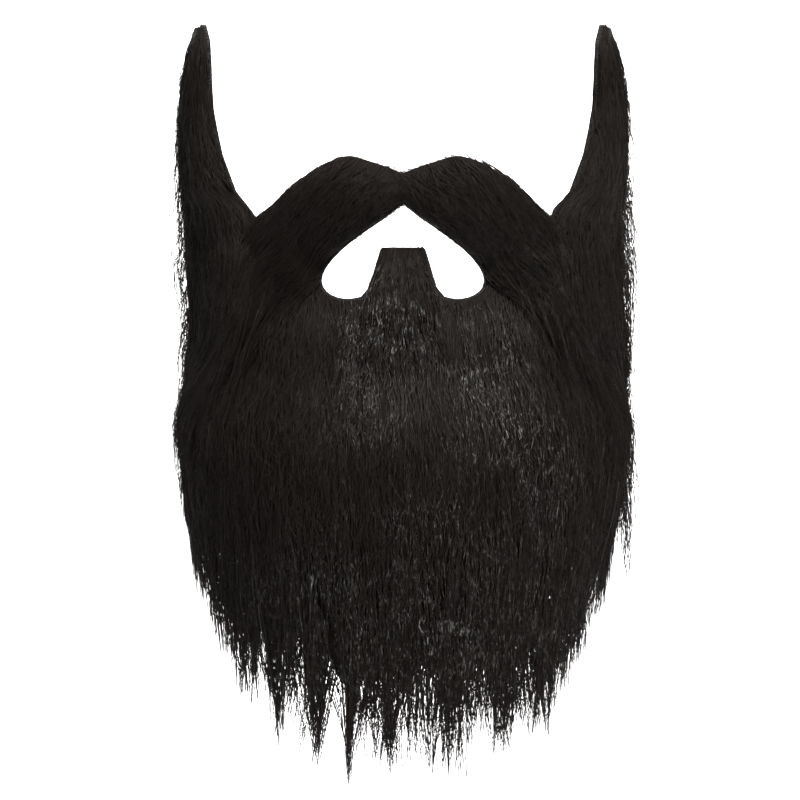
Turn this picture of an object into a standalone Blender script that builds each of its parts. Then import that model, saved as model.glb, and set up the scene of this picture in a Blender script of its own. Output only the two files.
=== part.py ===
"""A costume full beard: one die-cut cloth backing, bent round the lower face, and the fur that it carries.

The backing has two sideburn strips, a moustache bridge over a mouth hole and a tab under the lip.
Its fur is modelled as five sections, each with the outer form of its combed locks: the moustache, the
tuft of the tab, two sideburns and the long curtain of the jaw and chin.

Metres, +Z up, the face looks along -Y. The origin is on the skin side of the backing, on the upper lip.
"""

import math

import bmesh
import bpy
import numpy as np

# Sizes of the face that the cloth is bent round
FACE_HALF_WIDTH = 0.0770
FACE_DEPTH = 0.0880
CHIN_DROP = 0.0660
SIDEBURN_RISE = 0.0615

# The die-cut outline, measured from the seat on the upper lip
MOUTH_HALF_WIDTH = 0.0285
MOUTH_DROP = 0.0395
BOW_DROP = 0.0063
TAB_DROP = 0.0215
TAB_HALF_WIDTH = 0.0074
TAB_BASE_HALF_WIDTH = 0.0116
NOTCH_HALF_WIDTH = 0.0490
NOTCH_DROP = 0.0135
PEAK_HALF_SPAN = 0.0205
PEAK_RISE = 0.0095
DIP_RISE = 0.0035
REAR_ANGLE = 92.0

# Cloth, and the gaps that keep the sections apart
CLOTH_THICKNESS = 0.0015
SEAT_GAP = 0.0003
LAP_GAP = 0.0010
SEAM_GAP = 0.0006
SEAM_RUN_ON = 0.0100

# Fur
BEARD_DROP = 0.2120
SIDE_DROP = 0.1180
CHIN_FUR = 0.0240
SIDE_FUR = 0.0250
REAR_FUR = 0.0122
EDGE_FUR = 0.0015
TIP_FUR = 0.0012
MOUSTACHE_FUR = 0.0095
PARTING_FUR = 0.0045
SOUL_PATCH_FUR = 0.0048
SOUL_PATCH_DROP = 0.0600
SIDEBURN_DROP = 0.1180
TAIL_DROP = 0.0660
TAIL_ANGLE = 60.0
LOCK_DROP = 0.0340

# Locks across each section, and the faces that each is made of
CHIN_LOCKS = 21
SIDEBURN_LOCKS = 5
SOUL_PATCH_LOCKS = 3
TAIL_LOCKS = 3
LOCK_COLUMNS = 4
CURVE_STEPS = 2
CLOTH_CELL = 0.0064
CLOTH_CELL_HEIGHT = 0.0095
LOCK_RELIEF = 0.16

# The face's level sections, from the temples to the chin: height as a share of SIDEBURN_RISE above the
# seat and of CHIN_DROP below it, half width of FACE_HALF_WIDTH, front and depth of FACE_DEPTH
FACE_SECTIONS = [
    # height, half_width, front, depth
    (1.00, 0.982, 0.000, 1.000),
    (0.50, 0.975, 0.000, 1.000),
    (0.00, 0.922, 0.000, 0.980),
    (-0.45, 0.870, 0.020, 0.930),
    (-0.76, 0.820, -0.015, 0.890),
    (-1.00, 0.785, 0.020, 0.840),
]

# The lower edge of the cloth along the jaw: angle round the face as a share of REAR_ANGLE, drop of CHIN_DROP
JAW_LINE = [
    # angle, drop
    (0.00, 1.00),
    (0.33, 1.00),
    (0.60, 0.95),
    (0.80, 0.84),
    (0.93, 0.71),
    (1.00, 0.58),
]

# Edges of a sideburn strip from its tip down: height as on the face's sections, then the angles of the
# front and the rear edge as shares of REAR_ANGLE
SIDEBURN_EDGES = [
    # height, front, rear
    (1.00, 0.770, 0.800),
    (0.90, 0.732, 0.862),
    (0.75, 0.719, 0.908),
    (0.50, 0.714, 0.955),
    (0.22, 0.682, 1.000),
    (0.00, 0.623, 1.000),
]

# Right half of the mouth hole from the bow to the tab: across as a share of MOUTH_HALF_WIDTH, drop of MOUTH_DROP
MOUTH_EDGE = [
    # across, drop
    (0.21, 0.285),
    (0.50, 0.425),
    (0.76, 0.570),
    (0.94, 0.715),
    (1.00, 0.835),
    (0.94, 0.930),
    (0.80, 0.985),
    (0.64, 1.000),
    (0.50, 0.980),
]

# Upper edge of the moustache from its peak to the cheek notch: across from PEAK_HALF_SPAN (0) to
# NOTCH_HALF_WIDTH (1), fall from PEAK_RISE (0) to NOTCH_DROP below the seat (1)
MOUSTACHE_CREST = [
    # across, fall
    (0.00, 0.00),
    (0.20, 0.08),
    (0.42, 0.26),
    (0.68, 0.52),
    (0.86, 0.76),
    (1.00, 1.00),
]

# Tail of the moustache beyond the notch: how far along to the tip, then the outer and the lower edge's
# angles as shares of the way from the notch to TAIL_ANGLE, and their drops of the way to TAIL_DROP
TAIL_EDGES = [
    # along, outer_angle, outer_drop, lower_angle, lower_drop
    (0.00, 0.00, 0.00, -1.00, 0.36),
    (0.25, 0.10, 0.22, -0.62, 0.50),
    (0.50, 0.30, 0.46, -0.20, 0.66),
    (0.75, 0.60, 0.72, 0.30, 0.83),
    (1.00, 0.96, 0.97, 0.90, 1.00),
]

# Stand-off of the outermost fur at the side of the face, down from the temple: height as on the face's
# sections, stand-off as a share of SIDE_FUR
SIDE_PROFILE = [
    # height, standoff
    (1.00, 0.09),
    (0.80, 0.18),
    (0.50, 0.28),
    (0.00, 0.50),
    (-0.50, 0.78),
    (-1.00, 0.92),
    (-1.80, 1.00),
]

# How low the long locks reach round the face: angle as a share of REAR_ANGLE, drop from SIDE_DROP (0) to
# BEARD_DROP (1)
HEM_LINE = [
    # angle, reach
    (0.00, 1.00),
    (0.22, 0.95),
    (0.40, 0.82),
    (0.54, 0.64),
    (0.70, 0.38),
    (0.88, 0.12),
    (1.00, 0.00),
]

# Where the long fur's roots start round the face: angle as a share of REAR_ANGLE, drop of MOUTH_DROP
ROOT_LINE = [
    # angle, drop
    (0.000, 0.940),
    (0.100, 0.940),
    (0.125, 1.020),
    (0.215, 1.015),
    (0.255, 0.950),
    (0.282, 0.860),
    (0.330, 0.790),
    (0.500, 0.740),
    (1.000, 0.720),
]

# Neighbouring locks from the middle of a section outwards: width as a share of the mean one, and how much
# each falls short of the hem line as a share of LOCK_DROP
LOCKS = [
    # width, short
    (1.10, 0.00),
    (0.75, 0.38),
    (1.30, 0.10),
    (0.85, 0.46),
    (1.15, 0.16),
    (0.70, 0.40),
    (1.25, 0.04),
    (0.90, 0.30),
]

COLOURS = {
    # name: base colour, roughness
    "cloth": ((0.020, 0.019, 0.018, 1.0), 0.90),
    "fur": ((0.012, 0.010, 0.009, 1.0), 0.42),
}


def between(x, rows, column):
    """Smooth curve through a table's column, read at x of its first column."""
    knots = np.array([row[0] for row in rows], float)
    values = np.array([row[column] for row in rows], float)
    if knots[0] > knots[-1]:
        knots, values = knots[::-1], values[::-1]
    slopes = np.gradient(values, knots)
    x = np.clip(x, knots[0], knots[-1])
    i = np.clip(np.searchsorted(knots, x) - 1, 0, len(knots) - 2)
    span = knots[i + 1] - knots[i]
    t = (x - knots[i]) / span
    start = (1 + 2 * t) * (1 - t) ** 2 * values[i] + t * (1 - t) ** 2 * span * slopes[i]
    end = t**2 * (3 - 2 * t) * values[i + 1] + t**2 * (t - 1) * span * slopes[i + 1]
    return start + end


def ease(t):
    """0 to 1 with level ends, and flat outside them."""
    t = np.clip(t, 0.0, 1.0)
    return t * t * (3 - 2 * t)


def height_share(height):
    """A height in metres as the share that the tables of sections use."""
    return np.where(height > 0, height / SIDEBURN_RISE, height / CHIN_DROP)


def round_share(angle):
    """An angle round the face, in degrees to either side, as a share of REAR_ANGLE."""
    return np.abs(angle) / REAR_ANGLE


def half_width(height):
    """Half width of the face at a height."""
    return FACE_HALF_WIDTH * between(height_share(height), FACE_SECTIONS, 1)


def angle_at(across, height):
    """The angle round the face, in degrees, of a point of the outline seen from the front."""
    return np.degrees(np.arcsin(np.clip(across / half_width(height), -1, 1)))


def jaw_height(angle):
    """Height of the cloth's lower edge at an angle."""
    return -CHIN_DROP * between(round_share(angle), JAW_LINE, 1)


def place(angle, height, standoff):
    """Points at an angle round the face, a height, and a distance out from the skin.

    Below the cloth's edge on the jaw the fur hangs straight down from that edge.
    """
    angle, height, standoff = np.broadcast_arrays(angle, height, standoff)
    held = height_share(np.maximum(height, jaw_height(angle)))
    width = FACE_HALF_WIDTH * between(held, FACE_SECTIONS, 1)
    front = FACE_DEPTH * between(held, FACE_SECTIONS, 2)
    depth = FACE_DEPTH * between(held, FACE_SECTIONS, 3)
    turn = np.radians(angle)
    out_x, out_y = depth * np.sin(turn), -width * np.cos(turn)
    reach = standoff / np.hypot(out_x, out_y)
    x = width * np.sin(turn) + out_x * reach
    y = front + depth * (1 - np.cos(turn)) + out_y * reach
    return np.stack([x, y, height], axis=-1)


def root_height(angle):
    """Height at which the long fur starts, round the mouth's lower edge and along the jaw."""
    shares = [row[0] for row in ROOT_LINE]
    drops = [row[1] for row in ROOT_LINE]
    return -MOUTH_DROP * np.interp(round_share(angle), shares, drops)


def hem_height(angle):
    """Height that the longest locks reach."""
    reach = between(round_share(angle), HEM_LINE, 1)
    return -(SIDE_DROP + (BEARD_DROP - SIDE_DROP) * reach)


def long_fur(angle, height):
    """Thickness of the long fur where it is whole: it builds up below its roots."""
    share = round_share(angle)
    full = CHIN_FUR + (SIDE_FUR - CHIN_FUR) * ease(share / 0.7)
    full = full + (REAR_FUR - SIDE_FUR) * ease((share - 0.7) / 0.3)
    below = (root_height(angle) - height) / CHIN_DROP
    return EDGE_FUR + (full - EDGE_FUR) * ease(0.12 + 0.95 * below) * (below > -0.1)


def lap(angle, height):
    """Stand-off of the underside of a section that lies on the cloth and laps over the long fur's roots."""
    on_cloth = CLOTH_THICKNESS + SEAT_GAP
    over = long_fur(angle, height) + LAP_GAP
    above = (height - root_height(angle)) / MOUTH_DROP
    return on_cloth + over * (1 - ease((above - 0.10) / 0.15))


def comb(locks, drop):
    """Columns of a section from one side to the other: position from 0 to 1, how far each column is from
    its lock's ridge (0) to the groove (1), and how far its fur ends above the hem in unequal points.
    """
    outwards = np.abs(np.arange(locks) - (locks - 1) / 2).astype(int)
    width, short = np.array(LOCKS)[outwards % len(LOCKS)].T
    grooves = np.concatenate([[0], np.cumsum(width)]) / width.sum()
    scaled = np.arange(locks * LOCK_COLUMNS + 1) / LOCK_COLUMNS
    which = np.minimum(scaled.astype(int), locks - 1)
    across = np.interp(scaled, np.arange(locks + 1), grooves)
    off_ridge = np.abs(2 * (scaled - which) - 1)
    level = short[which] * (1 - off_ridge) + off_ridge
    return across, off_ridge, drop * level


def paint(obj, name):
    """Gives the object its material."""
    material = bpy.data.materials.get(name)
    if material is None:
        colour, roughness = COLOURS[name]
        material = bpy.data.materials.new(name)
        material.use_nodes = True
        shader = material.node_tree.nodes["Principled BSDF"]
        shader.inputs["Base Color"].default_value = colour
        shader.inputs["Roughness"].default_value = roughness
        shader.inputs["Metallic"].default_value = 0.0
    obj.data.materials.append(material)


def section(name, inner, outer, collection):
    """Closed solid lofted between two grids of points, the side on the face and the side that shows."""
    rows, columns = inner.shape[:2]
    bm = bmesh.new()
    near = [[bm.verts.new(p) for p in row] for row in inner]
    far = [[bm.verts.new(p) for p in row] for row in outer]
    for i in range(rows - 1):
        for j in range(columns - 1):
            bm.faces.new((near[i][j], near[i][j + 1], near[i + 1][j + 1], near[i + 1][j]))
            bm.faces.new((far[i][j], far[i + 1][j], far[i + 1][j + 1], far[i][j + 1]))
    round_top = [(0, j) for j in range(columns)]
    round_right = [(i, columns - 1) for i in range(1, rows)]
    round_bottom = [(rows - 1, j) for j in range(columns - 2, -1, -1)]
    round_left = [(i, 0) for i in range(rows - 2, 0, -1)]
    rim = round_top + round_right + round_bottom + round_left
    for (i, j), (k, m) in zip(rim, rim[1:] + rim[:1]):
        bm.faces.new((near[k][m], near[i][j], far[i][j], far[k][m]))
    bmesh.ops.recalc_face_normals(bm, faces=bm.faces)
    bmesh.ops.triangulate(bm, faces=bm.faces)
    mesh = bpy.data.meshes.new(name)
    bm.to_mesh(mesh)
    bm.free()
    mesh.shade_smooth()
    mesh.set_sharp_from_angle(angle=math.radians(50))
    obj = bpy.data.objects.new(name, mesh)
    collection.objects.link(obj)
    paint(obj, "fur")
    return obj


def rounded(steps):
    """Positions from 0 to 1, closer together near both ends, where a section's edges are rounded."""
    return 0.5 - 0.5 * np.cos(np.pi * np.linspace(0, 1, steps + 1))


def along_line(points, positions):
    """Points at positions from 0 to 1 along the length of an open line."""
    points = np.array(points, float)
    run = np.concatenate([[0], np.cumsum(np.hypot(*np.diff(points, axis=0).T))])
    run /= run[-1]
    return np.stack([np.interp(positions, run, points[:, k]) for k in (0, 1)], axis=-1)


def curve_through(points):
    """The points of an open line with CURVE_STEPS - 1 more on the smooth curve between each two."""
    points = np.array(points, float)
    ahead = 2 * points[-1] - points[-2]
    behind = 2 * points[0] - points[1]
    line = np.vstack([behind, points, ahead])
    t = np.linspace(0, 1, CURVE_STEPS, endpoint=False)[:, None]
    found = []
    for a, b, c, d in zip(line, line[1:], line[2:], line[3:]):
        found.append(
            b
            + 0.5 * t * (c - a)
            + 0.5 * t**2 * (2 * a - 5 * b + 4 * c - d)
            + 0.5 * t**3 * (3 * b - a - 3 * c + d)
        )
    return [tuple(p) for p in np.vstack(found + [points[-1:]])]


def moustache_crest():
    """Right half of the moustache's upper edge, from the dip under the nose to the notch: across, height."""
    rise = PEAK_RISE + NOTCH_DROP
    line = [(0.0, DIP_RISE), (0.5 * PEAK_HALF_SPAN, 0.5 * (DIP_RISE + PEAK_RISE))]
    for across, fall in MOUSTACHE_CREST:
        x = PEAK_HALF_SPAN + across * (NOTCH_HALF_WIDTH - PEAK_HALF_SPAN)
        line.append((x, PEAK_RISE - fall * rise))
    return curve_through(line)


def mouth_edge():
    """Right half of the mouth hole's edge, from the bow round the corner to the middle of the tab."""
    line = [(0.0, -BOW_DROP)]
    for across, drop in MOUTH_EDGE:
        line.append((across * MOUTH_HALF_WIDTH, -drop * MOUTH_DROP))
    line = curve_through(line)
    line.append((TAB_BASE_HALF_WIDTH, -0.90 * MOUTH_DROP))
    line.append((TAB_HALF_WIDTH * 1.05, -TAB_DROP - 0.02 * MOUTH_DROP))
    line.append((TAB_HALF_WIDTH * 0.95, -TAB_DROP))
    line.append((0.0, -TAB_DROP))
    return line


def flat(points):
    """Points of the outline seen from the front, laid out flat: distance round the face, height."""
    return [
        (math.radians(angle_at(x, z)) * FACE_HALF_WIDTH, z) for x, z in points
    ]


def cloth_outline():
    """The die-cut outline laid flat, once round from the moustache's dip: distance round the face, height."""
    scale = math.radians(REAR_ANGLE) * FACE_HALF_WIDTH
    right = flat(moustache_crest())
    below = [row for row in reversed(SIDEBURN_EDGES)]
    right += [(front * scale, height * SIDEBURN_RISE) for height, front, rear in below]
    right += [(rear * scale, height * SIDEBURN_RISE) for height, front, rear in SIDEBURN_EDGES]
    right += [(share * scale, -drop * CHIN_DROP) for share, drop in reversed(JAW_LINE)]
    left = [(-x, z) for x, z in reversed(right[1:-1])]
    return right + left


def mouth_outline():
    """The mouth hole laid flat."""
    right = flat(mouth_edge())
    left = [(-x, z) for x, z in reversed(right[1:-1])]
    return right + left


def make_backing(collection):
    """The cloth: its outline is filled flat, scored into small cells and bent round the face."""
    curve = bpy.data.curves.new("backing", "CURVE")
    curve.dimensions = "2D"
    curve.fill_mode = "BOTH"
    curve.extrude = CLOTH_THICKNESS / 2
    for outline in (cloth_outline(), mouth_outline()):
        spline = curve.splines.new("POLY")
        spline.points.add(len(outline) - 1)
        for point, (x, z) in zip(spline.points, outline):
            point.co = (x, z, 0.0, 1.0)
        spline.use_cyclic_u = True
    flat_cloth = bpy.data.objects.new("flat_cloth", curve)
    collection.objects.link(flat_cloth)
    bpy.context.view_layer.update()
    graph = bpy.context.evaluated_depsgraph_get()
    mesh = bpy.data.meshes.new_from_object(flat_cloth.evaluated_get(graph))
    mesh.name = "backing"
    bpy.data.objects.remove(flat_cloth)
    bm = bmesh.new()
    bm.from_mesh(mesh)
    bmesh.ops.remove_doubles(bm, verts=bm.verts, dist=0.00001)
    bmesh.ops.dissolve_limit(bm, angle_limit=0.001, verts=bm.verts, edges=bm.edges)
    for axis, size in enumerate((CLOTH_CELL, CLOTH_CELL_HEIGHT)):
        low = min(v.co[axis] for v in bm.verts)
        high = max(v.co[axis] for v in bm.verts)
        cells = max(1, round((high - low) / size))
        normal = (1, 0, 0) if axis == 0 else (0, 1, 0)
        for k in range(1, cells):
            cut = low + (high - low) * k / cells
            everything = list(bm.verts) + list(bm.edges) + list(bm.faces)
            at = [0, 0, 0]
            at[axis] = cut
            bmesh.ops.bisect_plane(
                bm, geom=everything, plane_co=at, plane_no=normal, dist=0.00002
            )
    bmesh.ops.remove_doubles(bm, verts=bm.verts, dist=0.00005)
    bmesh.ops.triangulate(bm, faces=bm.faces)
    for vert in bm.verts:
        angle = math.degrees(vert.co.x / FACE_HALF_WIDTH)
        height = vert.co.y
        standoff = CLOTH_THICKNESS if vert.co.z > 0 else 0.0
        vert.co = place(angle, height, standoff)
    bmesh.ops.recalc_face_normals(bm, faces=bm.faces)
    bm.to_mesh(mesh)
    bm.free()
    mesh.shade_smooth()
    mesh.set_sharp_from_angle(angle=math.radians(50))
    obj = bpy.data.objects.new("backing", mesh)
    collection.objects.link(obj)
    obj.data.materials.clear()
    paint(obj, "cloth")


def make_chin_beard(collection):
    """The long fur: a curtain from the roots to the hem, thick below the chin, ending in pointed locks."""
    across, off_ridge, short = comb(CHIN_LOCKS, LOCK_DROP)
    angle = (2 * across - 1) * REAR_ANGLE
    down = np.linspace(0, 1, 14)[:, None] ** 1.15
    top = root_height(angle)
    height = top + (hem_height(angle) + short - top) * down
    relief = LOCK_RELIEF * off_ridge * ease((down - 0.35) / 0.3)
    taper = 1 - ease((down - 0.45) / 0.55) * 0.94
    thick = long_fur(angle, height) * taper * (1 - relief) + TIP_FUR * (1 - taper)
    base = CLOTH_THICKNESS + SEAT_GAP
    lift = 0.42 * CHIN_FUR * ease((down - 0.45) / 0.55)
    inner = place(angle, height, base + lift)
    outer = place(angle, height, base + lift + thick)
    section("chin_beard", inner, outer, collection)


def make_moustache(collection):
    """Fur combed outwards from the parting: each half swells beside it and its tail lies over the cheek."""
    half = 17
    along = np.linspace(0, 1, half + 1)
    notch_angle = float(angle_at(NOTCH_HALF_WIDTH, -NOTCH_DROP))
    span = TAIL_ANGLE - notch_angle
    fall = TAIL_DROP - NOTCH_DROP
    crest = [(float(angle_at(x, z)), z) for x, z in moustache_crest()]
    lower = [(float(angle_at(x, z)), z) for x, z in mouth_edge()[: 5 * CURVE_STEPS + 1]]
    for _, outer_angle, outer_drop, lower_angle, lower_drop in TAIL_EDGES[1:]:
        crest.append((notch_angle + span * outer_angle, -NOTCH_DROP - fall * outer_drop))
        lower.append((notch_angle + span * lower_angle, -NOTCH_DROP - fall * lower_drop))
    as_length = np.radians(1.0) * FACE_HALF_WIDTH
    scale = np.array([as_length, 1.0])
    high = along_line(np.array(crest) * scale, along) / scale
    low = along_line(np.array(lower) * scale, along) / scale
    across = rounded(4 * TAIL_LOCKS)[:, None]
    angle = high[:, 0] + (low[:, 0] - high[:, 0]) * across
    height = high[:, 1] + (low[:, 1] - high[:, 1]) * across
    swell = PARTING_FUR + (MOUSTACHE_FUR - PARTING_FUR) * ease(along / 0.22)
    swell = swell * (1 - 0.75 * ease((along - 0.62) / 0.38))
    dome = np.sqrt(np.clip(4 * across * (1 - across), 0, 1))
    ridges = np.abs(np.linspace(-1, 1, 4 * TAIL_LOCKS + 1)[:, None] * TAIL_LOCKS % 2 - 1)
    relief = 0.6 * LOCK_RELIEF * ridges * ease((along - 0.15) / 0.3)
    thick = EDGE_FUR + (swell - EDGE_FUR) * dome * (1 - relief)
    angle = np.concatenate([-angle[:, :0:-1], angle], axis=1)
    height = np.concatenate([height[:, :0:-1], height], axis=1)
    thick = np.concatenate([thick[:, :0:-1], thick], axis=1)
    under = lap(angle, height)
    section("moustache", place(angle, height, under), place(angle, height, under + thick), collection)


def make_soul_patch(collection):
    """The tuft of the tab: it starts at the tab's cut top edge and falls over the chin."""
    across, _, short = comb(SOUL_PATCH_LOCKS, 0.3 * LOCK_DROP)
    down = rounded(9)[:, None]
    height = -TAB_DROP + (TAB_DROP - SOUL_PATCH_DROP + short) * down
    to_base = ease((-height - TAB_DROP) / (MOUTH_DROP - TAB_DROP))
    half = TAB_HALF_WIDTH * 0.95 + (TAB_BASE_HALF_WIDTH - TAB_HALF_WIDTH) * to_base
    angle = angle_at((2 * across - 1) * half, np.maximum(height, -CHIN_DROP))
    sides = np.sqrt(np.clip(4 * across * (1 - across), 0, 1))
    ends = ease(down / 0.35) * (1 - ease((down - 0.5) / 0.5))
    thick = EDGE_FUR + (SOUL_PATCH_FUR - EDGE_FUR) * sides * ends
    under = lap(angle, height)
    section("soul_patch", place(angle, height, under), place(angle, height, under + thick), collection)


def sideburn_front(height):
    """Angle of a sideburn's front edge: the strip's own edge, then along the moustache's tail and past its tip."""
    strip = REAR_ANGLE * between(height_share(height), SIDEBURN_EDGES, 1)
    notch_angle = float(angle_at(NOTCH_HALF_WIDTH, -NOTCH_DROP))
    span = TAIL_ANGLE - notch_angle
    drops = [(row[2] * (TAIL_DROP - NOTCH_DROP) + NOTCH_DROP) for row in TAIL_EDGES]
    angles = [notch_angle + span * row[1] for row in TAIL_EDGES]
    slope = (angles[-1] - angles[-2]) / (drops[-1] - drops[-2])
    drops.append(drops[-1] + SEAM_RUN_ON)
    angles.append(angles[-1] + slope * SEAM_RUN_ON)
    seam = math.degrees(SEAM_GAP / FACE_HALF_WIDTH)
    tail = np.interp(-height, drops, angles) + seam
    to_notch = np.clip(-height / NOTCH_DROP, 0, 1)
    return strip + (tail - strip) * to_notch


def make_sideburn(name, side, collection):
    """The fur of one strip: thin at the temple, fuller below, its locks falling over the long fur's roots."""
    across, off_ridge, short = comb(SIDEBURN_LOCKS, LOCK_DROP)
    down = np.linspace(0, 1, 17)[:, None]
    height = SIDEBURN_RISE + (short - SIDEBURN_DROP - SIDEBURN_RISE) * down
    front = sideburn_front(height)
    rear = REAR_ANGLE * between(height_share(height), SIDEBURN_EDGES, 2)
    angle = front + (rear - front) * across
    envelope = SIDE_FUR * between(height_share(height), SIDE_PROFILE, 1)
    under = lap(angle, height)
    edges = np.sqrt(np.clip(4 * across * (1 - across), 0, 1)) ** 0.6
    room = CLOTH_THICKNESS + SEAT_GAP + envelope - under
    full = np.maximum(room, EDGE_FUR) * (1 - ease((down - 0.72) / 0.28) * 0.9)
    relief = LOCK_RELIEF * off_ridge * ease((down - 0.3) / 0.4)
    thick = EDGE_FUR + np.maximum(full - EDGE_FUR, 0) * edges * (1 - relief)
    angle = side * angle
    section(name, place(angle, height, under), place(angle, height, under + thick), collection)


def main():
    for obj in list(bpy.data.objects):
        bpy.data.objects.remove(obj, do_unlink=True)
    collection = bpy.data.collections.new("costume_beard")
    bpy.context.scene.collection.children.link(collection)
    make_backing(collection)
    make_chin_beard(collection)
    make_moustache(collection)
    make_soul_patch(collection)
    make_sideburn("sideburn_left", -1, collection)
    make_sideburn("sideburn_right", 1, collection)


main()
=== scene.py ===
"""A full costume beard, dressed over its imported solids: knitted cloth and long black synthetic fur."""

import math

import bmesh
import bpy
import numpy as np
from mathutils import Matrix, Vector


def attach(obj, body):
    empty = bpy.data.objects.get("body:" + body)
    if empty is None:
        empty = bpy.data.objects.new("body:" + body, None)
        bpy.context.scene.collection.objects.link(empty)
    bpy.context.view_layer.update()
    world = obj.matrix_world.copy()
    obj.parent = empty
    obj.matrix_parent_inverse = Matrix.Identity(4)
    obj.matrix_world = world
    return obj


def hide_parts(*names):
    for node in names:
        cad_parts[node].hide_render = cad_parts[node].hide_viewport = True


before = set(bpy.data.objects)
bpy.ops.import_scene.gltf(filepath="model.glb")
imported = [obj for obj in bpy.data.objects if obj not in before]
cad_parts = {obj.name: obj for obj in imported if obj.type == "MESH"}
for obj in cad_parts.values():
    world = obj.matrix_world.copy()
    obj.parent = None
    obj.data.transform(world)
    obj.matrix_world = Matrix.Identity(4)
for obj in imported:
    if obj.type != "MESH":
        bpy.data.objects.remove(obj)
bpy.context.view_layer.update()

# The backing
# One layer of black knitted cloth, die-cut and bent to the form that it is worn in: two sideburn strips, a
# bridge over the mouth hole and a tab that stands up in it. The fur is knitted into its outer side, and its
# inner side is the one that sticks.

BEND_HALF_WIDTH, BEND_DEPTH = 0.0770, 0.0880
SIDEBURN_RISE, CHIN_DROP = 0.0615, 0.0660
REAR_ANGLE = 92.0
CLOTH_THICKNESS, SEAT_GAP = 0.0015, 0.0003
STITCH_WIDTH, STITCH_HEIGHT, LEG_SLANT = 0.0017, 0.0012, 0.8
FUZZ_SCALE, KNIT_RELIEF = 900.0, 0.0005
WELD_DISTANCE, CREASE_ANGLE = 0.00002, 50.0
CLOTH_DARK, CLOTH_LIGHT = (0.0008, 0.0007, 0.0006), (0.0210, 0.0188, 0.0170)

BEND_SECTIONS = [
    # height, half_width, front, depth
    (1.00, 0.982, 0.000, 1.000),
    (0.50, 0.975, 0.000, 1.000),
    (0.00, 0.922, 0.000, 0.980),
    (-0.45, 0.870, 0.020, 0.930),
    (-0.76, 0.820, -0.015, 0.890),
    (-1.00, 0.785, 0.020, 0.840),
]
LOWER_EDGE = [
    # angle, drop
    (0.00, 1.00),
    (0.33, 1.00),
    (0.60, 0.95),
    (0.80, 0.84),
    (0.93, 0.71),
    (1.00, 0.58),
]


def between(x, rows, column):
    """Smooth curve through a column of a table: cubics between its rows, with their neighbours' slopes."""
    table = np.array(rows, float)
    knots, values = table[:, 0], table[:, column]
    if knots[0] > knots[-1]:
        knots, values = knots[::-1], values[::-1]
    slopes = np.gradient(values, knots)
    x = np.clip(x, knots[0], knots[-1])
    i = np.clip(np.searchsorted(knots, x) - 1, 0, len(knots) - 2)
    span = knots[i + 1] - knots[i]
    t = (x - knots[i]) / span
    start = (1 + 2 * t) * (1 - t) ** 2 * values[i] + t * (1 - t) ** 2 * span * slopes[i]
    end = t**2 * (3 - 2 * t) * values[i + 1] + t**2 * (t - 1) * span * slopes[i + 1]
    return start + end


def ease(t):
    """3 t^2 - 2 t^3, and level outside 0 to 1."""
    t = np.clip(t, 0.0, 1.0)
    return t * t * (3 - 2 * t)


def height_share(height):
    """Height over the rise of the sideburns above the seat, and over the chin's drop below it."""
    return np.where(height > 0, height / SIDEBURN_RISE, height / CHIN_DROP)


def half_width(height):
    """Half width of the bend at a height."""
    return BEND_HALF_WIDTH * between(height_share(height), BEND_SECTIONS, 1)


def lower_edge(angle):
    """Height of the cloth's lower edge at an angle round the bend, in degrees."""
    return -CHIN_DROP * between(np.abs(angle) / REAR_ANGLE, LOWER_EDGE, 1)


def place(angle, height, standoff):
    """Points round the bend: x = width sin, y = front + depth (1 - cos) of the angle at each height, moved
    out along the ellipse's normal by the stand-off. Below the cloth's edge they keep that edge's ellipse.
    """
    angle, height, standoff = np.broadcast_arrays(angle, height, standoff)
    held = height_share(np.maximum(height, lower_edge(angle)))
    width = BEND_HALF_WIDTH * between(held, BEND_SECTIONS, 1)
    front = BEND_DEPTH * between(held, BEND_SECTIONS, 2)
    depth = BEND_DEPTH * between(held, BEND_SECTIONS, 3)
    turn = np.radians(angle)
    out_x, out_y = depth * np.sin(turn), -width * np.cos(turn)
    reach = standoff / np.hypot(out_x, out_y)
    x = width * np.sin(turn) + out_x * reach
    y = front + depth * (1 - np.cos(turn)) + out_y * reach
    return np.stack([x, y, height], axis=-1)


class Varying:
    """A number that varies over a surface: arithmetic on it adds Math nodes to its finish."""

    def __init__(self, finish, socket):
        self.finish, self.socket = finish, socket

    def math(self, operation, *values):
        return self.finish.node("ShaderNodeMath", {"operation": operation}, dict(enumerate(values)))

    def above(self, floor):
        return self.math("MAXIMUM", self, floor)

    def __add__(self, other):
        return self.math("ADD", self, other)

    def __sub__(self, other):
        return self.math("SUBTRACT", self, other)

    def __rsub__(self, other):
        return self.math("SUBTRACT", other, self)

    def __mul__(self, other):
        return self.math("MULTIPLY", self, other)

    def __truediv__(self, other):
        return self.math("DIVIDE", self, other)

    __radd__, __rmul__ = __add__, __mul__


class Finish:
    """A material in the making. node() adds a node of any type, with its settings and its sockets' values
    or links.
    """

    def __init__(self, name):
        self.material = bpy.data.materials.new(name)
        self.material.use_nodes = True
        self.tree = self.material.node_tree
        self.shader = self.tree.nodes["Principled BSDF"]

    def put(self, socket, value):
        if isinstance(value, Varying):
            self.tree.links.new(value.socket, socket)
        else:
            socket.default_value = value

    def node(self, kind, settings, sockets, output=0):
        made = self.tree.nodes.new(kind)
        for name, value in settings.items():
            setattr(made, name, value)
        for name, value in sockets.items():
            self.put(made.inputs[name], value)
        return Varying(self, made.outputs[output])

    def colour(self, factor, dark, light):
        """The colour on the way from dark to light by the factor."""
        sockets = {0: factor, 6: (*dark, 1.0), 7: (*light, 1.0)}
        return self.node("ShaderNodeMix", {"data_type": "RGBA", "clamp_factor": True}, sockets, 2)

    def finish(self, **sockets):
        for name, value in sockets.items():
            self.put(self.shader.inputs[name.replace("_", " ")], value)
        return self.material


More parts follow.
